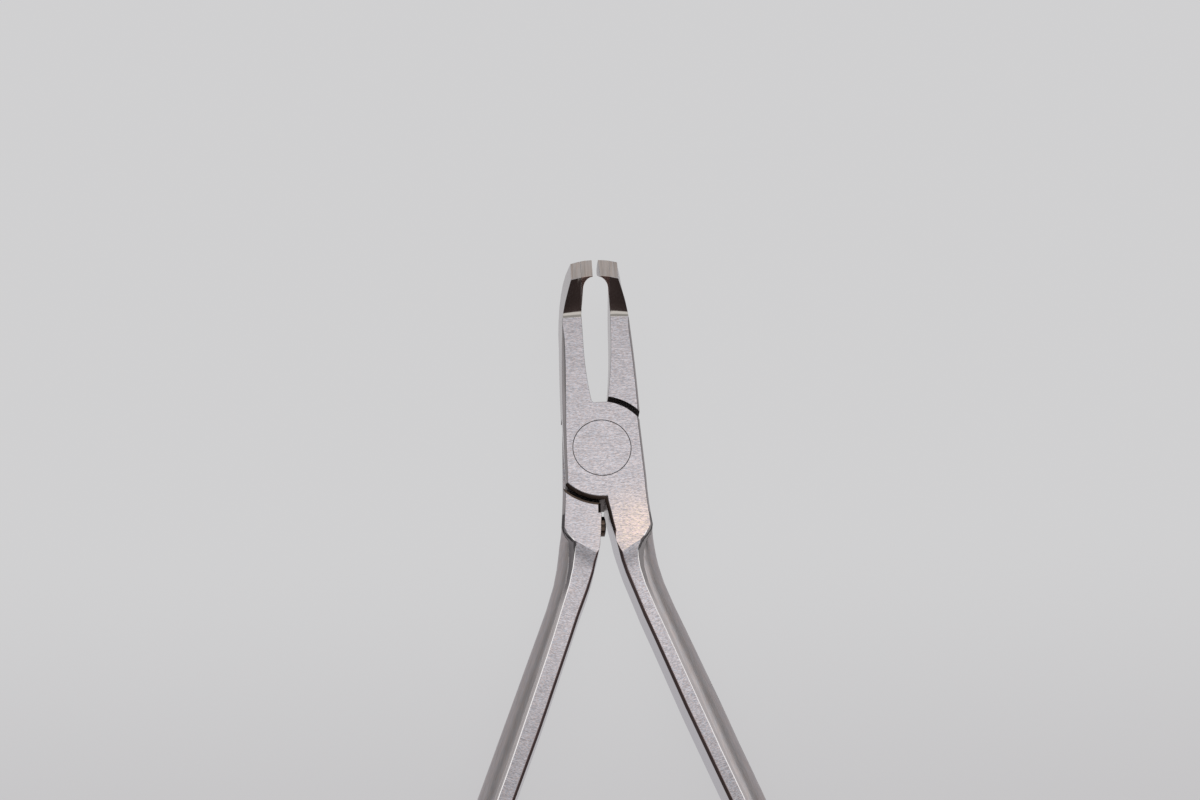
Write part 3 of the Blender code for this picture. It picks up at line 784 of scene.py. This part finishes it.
@dataclass(frozen=True)
class Slopes:
    """Shares of a face's normal that tell one surface of a half from another.

    Plain shares point up or down: 1 on a flat and 0 on a wall. The others are named for
    where they point: inwards to the other handle, or forwards or backwards.
    """

    joint_flat: float = 0.97
    handle_flat: float = 0.85
    handle_end: float = 0.98
    tip_end: float = 0.9
    cove: float = 0.93
    crease: float = 0.8
    chamfer: float = 0.4
    wall: float = 0.3
    bend_backward: float = 0.02
    inner_wall_inward: float = 0.8
    crotch_inward: float = 0.2
    gap_forward: float = 0.25
    edge_forward: float = 0.4


@dataclass
class Half:
    """One forged half of the pliers: jaw, cheek and handle.

    The side is 1 where the handle is at +X and -1 where it is at -X. The margins are how
    far a surface may lie from where the handle's profile or the joint's plane puts it.
    """

    steelwork: Steelwork
    side: int
    neck_cove_shade: Colour
    slopes: Slopes = Slopes()
    handle_turn: float = math.radians(18)
    gap_radii: Limits = (7.2 * MM, 9.8 * MM)
    screw_reach: float = 5.5 * MM
    bend_y: float = 21.9 * MM
    round_y: float = -12.0 * MM
    crotch_y: float = -14.0 * MM
    neck_y: float = -17.9 * MM
    wedge_y: float = -18.3 * MM
    end_y: float = -98.0 * MM
    tip_margin: float = 0.1 * MM
    joint_margin: float = 0.02 * MM
    flat_margin: float = 0.04 * MM
    crease_margin: float = 0.2 * MM
    cove_margin: float = 0.3 * MM

    def zone_of(self, face: bpy.types.MeshPolygon) -> Zone:
        """Finish of one face, from where it is and where it looks.

        Args:
            face: A face of the finished mesh.

        Returns:
            The zone.
        """
        normal, centre, slopes = face.normal, face.center, self.slopes
        broken = face.material_index == Zone.BROKEN_EDGE.value
        if face.material_index == Zone.CREASE.value:
            return Zone.CREASE if abs(normal.z) > slopes.crease else Zone.COVE
        if centre.y < self.round_y:
            return self.handle_zone(normal, centre, broken)
        if broken:
            if centre.y > self.bend_y or centre.xy.length < self.screw_reach:
                return Zone.CHAMFER
            # Broken edges that face forward into a gap get the painted gap shade.
            return Zone.GAP_SHADE if normal.y > slopes.edge_forward else Zone.BROKEN_EDGE
        if self.in_gap(normal, centre):
            # Forward, upward chamfers in the gap get the painted brown reflection; the rest gets
            # painted shade.
            chamfer = normal.y > slopes.gap_forward and normal.z > slopes.wall
            return Zone.BROWN_REFLECTION_CHAMFER if chamfer and centre.y < 0.0 else Zone.GAP_SHADE
        if centre.z > TIP_HEIGHT - self.tip_margin and normal.z > slopes.tip_end:
            return Zone.TIP_END
        if centre.y > self.bend_y and normal.z > slopes.wall and -normal.y > slopes.bend_backward:
            return Zone.POLISHED_BEND
        if abs(normal.z) > slopes.joint_flat:
            return Zone.JOINT_FLAT
        return Zone.CHAMFER if abs(normal.z) > slopes.chamfer else Zone.SIDE_WALL

    def handle_zone(self, normal: Vector, centre: Vector, broken: bool) -> Zone:
        """Finish of one face of the handle.

        Args:
            normal: The face's normal.
            centre: The face's centre.
            broken: Whether the face was made by breaking an edge.

        Returns:
            The zone.
        """
        slopes = self.slopes
        inward = -normal.x * self.side
        slope = abs(normal.z)
        height = abs(centre.z - MIDDLE_PLANE)
        crease, cove_floor = crease_heights(centre.y)
        if inward > slopes.inner_wall_inward:
            return Zone.INNER_WALL
        if centre.y < self.end_y and slope < slopes.handle_end:
            return Zone.ROUND
        if broken and inward > 0.0:
            return Zone.INNER_CHAMFER
        if slope > slopes.handle_flat and height > crease - self.flat_margin:
            return Zone.JOINT_FLAT if self.on_joint(centre) else Zone.HANDLE_FLAT
        if inward > 0.0 and slope > slopes.wall:
            # Inner faces at the crotch get the painted gap shade.
            return Zone.GAP_SHADE if centre.y > self.crotch_y else Zone.INNER_CHAMFER
        if centre.y > self.wedge_y:
            return Zone.COVE if height > cove_floor else Zone.ROUND
        in_cove = slope > slopes.cove and height > cove_floor - self.cove_margin
        return Zone.COVE if in_cove or height > crease - self.crease_margin else Zone.ROUND

    def in_gap(self, normal: Vector, centre: Vector) -> bool:
        """Tell the walls between the two halves, which are painted dark as shade.

        Args:
            normal: The face's normal.
            centre: The face's centre.

        Returns:
            Whether the face lies in a gap.
        """
        near, far = self.gap_radii
        inward = -normal.x * self.side
        round_wall = near < centre.xy.length < far and abs(normal.y) > self.slopes.gap_forward
        crotch = (centre.y < -near and inward > self.slopes.crotch_inward
                  and abs(normal.z) > self.slopes.wall)
        return round_wall or crotch

    def on_joint(self, centre: Vector) -> bool:
        """Tell the plane of the joint, before the handle's flat begins.

        Args:
            centre: The face's centre.

        Returns:
            Whether the face lies in that plane.
        """
        depth = MIDDLE_PLANE - abs(centre.z - MIDDLE_PLANE)
        return centre.y > self.neck_y and depth < self.joint_margin

    def build(self) -> bpy.types.Object:
        """Make the half and give its surfaces their finishes.

        Returns:
            The half.
        """
        item = self.steelwork.piece()
        finishes = half_finishes(self.side * self.handle_turn, self.neck_cove_shade)
        for zone in Zone:
            item.data.materials.append(finishes[zone].material())
        for face in item.data.polygons:
            face.material_index = self.zone_of(face).value
        return item


@dataclass
class SmallPiece:
    """A piece with one finish all over."""

    steelwork: Steelwork
    finish: Finish

    def build(self) -> bpy.types.Object:
        """Make the piece and give it its finish.

        Returns:
            The piece.
        """
        item = self.steelwork.piece()
        item.data.materials.append(self.finish.material())
        for face in item.data.polygons:
            face.material_index = 0
        return item


@dataclass
class CuttingEdge:
    """A carbide cutting edge: its end is ground with the tip, and its slope is polished."""

    steelwork: Steelwork
    end_slope: float = 0.9
    polished_slope: float = 0.2

    def zone_of(self, face: bpy.types.MeshPolygon) -> EdgeZone:
        """Finish of one face, from where it looks.

        Args:
            face: A face of the finished mesh.

        Returns:
            The zone.
        """
        up, backward = face.normal.z, -face.normal.y
        if up > self.end_slope:
            return EdgeZone.END
        return EdgeZone.SLOPE if max(up, backward) > self.polished_slope else EdgeZone.BACK

    def build(self) -> bpy.types.Object:
        """Make the cutting edge and give it its finishes.

        Returns:
            The cutting edge.
        """
        item = self.steelwork.piece()
        finishes = {
            EdgeZone.END: tip_end_finish("carbide_end"),
            # The carbide's warm tint is a painted reflection.
            EdgeZone.SLOPE: SatinSteel("carbide", WARM_REFLECTION_CARBIDE, 0.16, depth=0.0004 * MM),
            EdgeZone.BACK: SatinSteel("carbide_back", CARBIDE_BACK, 0.24, roughness_drift=0.06,
                                      depth=0.0006 * MM),
        }
        for zone in EdgeZone:
            item.data.materials.append(finishes[zone].material())
        for face in item.data.polygons:
            face.material_index = self.zone_of(face).value
        return item


@dataclass
class Pliers:
    """Every piece of the pliers: the halves, the screw, the pin and the cutting edges."""

    pieces: list[Half | SmallPiece | CuttingEdge] = field(default_factory=lambda: [
        Half(Steelwork("front_half", "front_body", "front_half_steel"), 1, FRONT_NECK_COVE_SHADE),
        Half(Steelwork("back_half", "back_body", "back_half_steel"), -1, BACK_NECK_COVE_SHADE),
        SmallPiece(Steelwork("pivot_screw", "back_body", "screw_steel"),
                   flat_finish("screw_face", Grain.ACROSS.value)),
        # The stop pin is painted dark brown: painted shade and reflection where it sits between the
        # handles.
        SmallPiece(Steelwork("stop_pin", "back_body", "pin_steel"),
                   SatinSteel("pin_steel", PIN_SHADE_STEEL, 0.2, roughness_drift=0.04,
                              depth=0.0004 * MM)),
        CuttingEdge(Steelwork("left_carbide_insert", "front_body", "carbide", CARBIDE_BREAK)),
        CuttingEdge(Steelwork("right_carbide_insert", "back_body", "carbide", CARBIDE_BREAK)),
    ])

    def build(self) -> list[bpy.types.Object]:
        """Make the pieces in order."""
        return [piece.build() for piece in self.pieces]


@dataclass
class Sky:
    """Light from all round: a bright band at middle heights, dark low in front.

    A height is the share of a direction that points up. A side is its share to the left,
    and a depth its share towards the front, where the handles point. The facing patch,
    lowest in front, is darker still and warmer.
    """

    colour: Colour = (1.0, 0.99, 1.0, 1.0)
    facing_colour: Colour = (1.0, 0.72, 0.72, 1.0)
    base_level: float = 0.46
    base_heights: Limits = (0.05, 0.35)
    base_drop: float = 0.23
    band_level: float = 0.7
    band_heights: Limits = (0.36, 0.5)
    band_top_heights: Limits = (0.86, 0.96)
    band_top_fade: float = 0.68
    left_sides: Limits = (0.1, 0.5)
    left_rise: float = 0.07
    low_heights: Limits = (0.1, 0.45)
    front_depths: Limits = (-0.35, 0.3)
    low_front_fade: float = 0.75
    facing_tilt: float = 0.55
    facing_reach: Limits = (0.62, 0.8)
    facing_fade: float = 0.66

    def build(self) -> None:
        """Make the world and light it."""
        world = bpy.data.worlds.new("studio")
        bpy.context.scene.world = world
        world.use_nodes = True
        graph = Graph(world.node_tree)
        side, depth, height = graph.parts(graph.add("ShaderNodeTexCoord").out("Generated"))
        towards = depth * -1.0
        left = (side * -1.0).ramp(*self.left_sides)
        band_top = 1.0 - height.ramp(*self.band_top_heights) * self.band_top_fade
        band = (height - left * self.left_rise).ramp(*self.band_heights) * band_top
        base = self.base_level - height.ramp(*self.base_heights) * self.base_drop
        low = 1.0 - height.ramp(*self.low_heights)
        low_front = low * towards.ramp(*self.front_depths)
        facing = (towards - height * self.facing_tilt).ramp(*self.facing_reach)
        level = ((base + band * self.band_level) * (1.0 - low_front * self.low_front_fade)
                 * (1.0 - facing * self.facing_fade))
        background = world.node_tree.nodes["Background"]
        graph.feed(background, "Color",
                   graph.mix_colours(facing, self.colour, self.facing_colour))
        graph.feed(background, "Strength", level)


@dataclass
class Floor:
    """The pale floor, which takes only a faint shadow.

    The glow is the share of its colour that the camera sees without any shadow. The
    tone changes slowly along Y. The mirrored colour is what the steel shows of it.
    """

    half_size: float = 3.0
    drop: float = 0.02 * MM
    upper: Colour = (0.645, 0.643, 0.650, 1.0)
    lower: Colour = (0.560, 0.552, 0.562, 1.0)
    mirrored: Colour = (0.54, 0.525, 0.54, 1.0)
    tone_y: Limits = (-75.0 * MM, -10.0 * MM)
    roughness: float = 0.9
    glow: float = 0.94

    def material(self) -> bpy.types.Material:
        """Make the floor's material.

        Returns:
            The material.
        """
        material, graph, shader = new_material("pale_floor", 0.0)
        graph.feed(shader.node, "Base Color", self.upper)
        graph.feed(shader.node, "Roughness", self.roughness)
        along = graph.parts(graph.place())[1]
        colour = graph.mix_colours(along.ramp(*self.tone_y), self.lower, self.upper)
        path = graph.add("ShaderNodeLightPath")
        glow = graph.add("ShaderNodeEmission", None, {"Color": colour, "Strength": 1.0})
        seen = graph.add("ShaderNodeMixShader", None,
                         {0: path.out("Is Camera Ray") * self.glow, 1: shader.out(),
                          2: glow.out()})
        mirrored = graph.add("ShaderNodeEmission", None,
                             {"Color": self.mirrored, "Strength": 1.0})
        both = graph.add("ShaderNodeMixShader", None,
                         {0: path.out("Is Glossy Ray"), 1: seen.out(), 2: mirrored.out()})
        graph.feed(material.node_tree.nodes["Material Output"], "Surface", both.out())
        return material

    def build(self) -> None:
        """Make the floor just below the pliers."""
        work = bmesh.new()
        bmesh.ops.create_grid(work, x_segments=1, y_segments=1, size=self.half_size,
                              matrix=Matrix.Translation((0.0, 0.0, -self.drop)))
        mesh = bpy.data.meshes.new("floor")
        work.to_mesh(mesh)
        work.free()
        mesh.materials.append(self.material())
        item = bpy.data.objects.new("floor", mesh)
        bpy.context.scene.collection.objects.link(item)


@dataclass
class SoftLamp:
    """A square soft lamp over the tips."""

    place: tuple[float, float, float] = (23.0 * MM, 63.0 * MM, 255.0 * MM)
    aim: tuple[float, float, float] = (0.0, -10.0 * MM, 0.0)
    size: float = 60.0 * MM
    power: float = 0.016
    colour: tuple[float, float, float] = (1.0, 0.96, 0.94)

    def build(self) -> None:
        """Hang the lamp and turn it to where it looks."""
        light = bpy.data.lights.new("overhead_softbox", "AREA")
        light.shape = "SQUARE"
        light.size = self.size
        light.energy = self.power
        light.color = self.colour
        item = bpy.data.objects.new("overhead_softbox", light)
        bpy.context.scene.collection.objects.link(item)
        item.location = self.place
        item.rotation_mode = "QUATERNION"
        item.rotation_quaternion = (Vector(self.aim) - item.location).to_track_quat("-Z", "Y")


@dataclass
class PhotoCamera:
    """Camera at the photograph's viewing angle.

    Its turn is in degrees about X, Y and Z, from looking straight down.
    """

    place: tuple[float, float, float] = (-43.909 * MM, -204.819 * MM, 622.822 * MM)
    turn: tuple[float, float, float] = (19.2077, -3.1334, -2.7581)
    focal_pixels: float = 4089.348
    frame_width: float = 1200.0
    sensor: float = 36.0
    nearest: float = 10.0 * MM

    def build(self) -> None:
        """Make the camera and look through it."""
        data = bpy.data.cameras.new("photo_camera")
        data.sensor_width = self.sensor
        data.lens = self.focal_pixels / self.frame_width * self.sensor
        data.clip_start = self.nearest
        item = bpy.data.objects.new("photo_camera", data)
        bpy.context.scene.collection.objects.link(item)
        item.location = self.place
        item.rotation_euler = Euler([math.radians(angle) for angle in self.turn])
        bpy.context.scene.camera = item


def main() -> None:
    """Build the pliers, the floor, the light and the camera."""
    logging.basicConfig(level=logging.INFO, format="%(message)s")
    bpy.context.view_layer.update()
    bpy.context.scene.view_settings.view_transform = "Standard"
    for item in Pliers().build():
        log.info("%s: %d faces", item.name, len(item.data.polygons))
    for part in (Floor(), Sky(), SoftLamp(), PhotoCamera()):
        part.build()


if __name__ == "__main__":
    main()
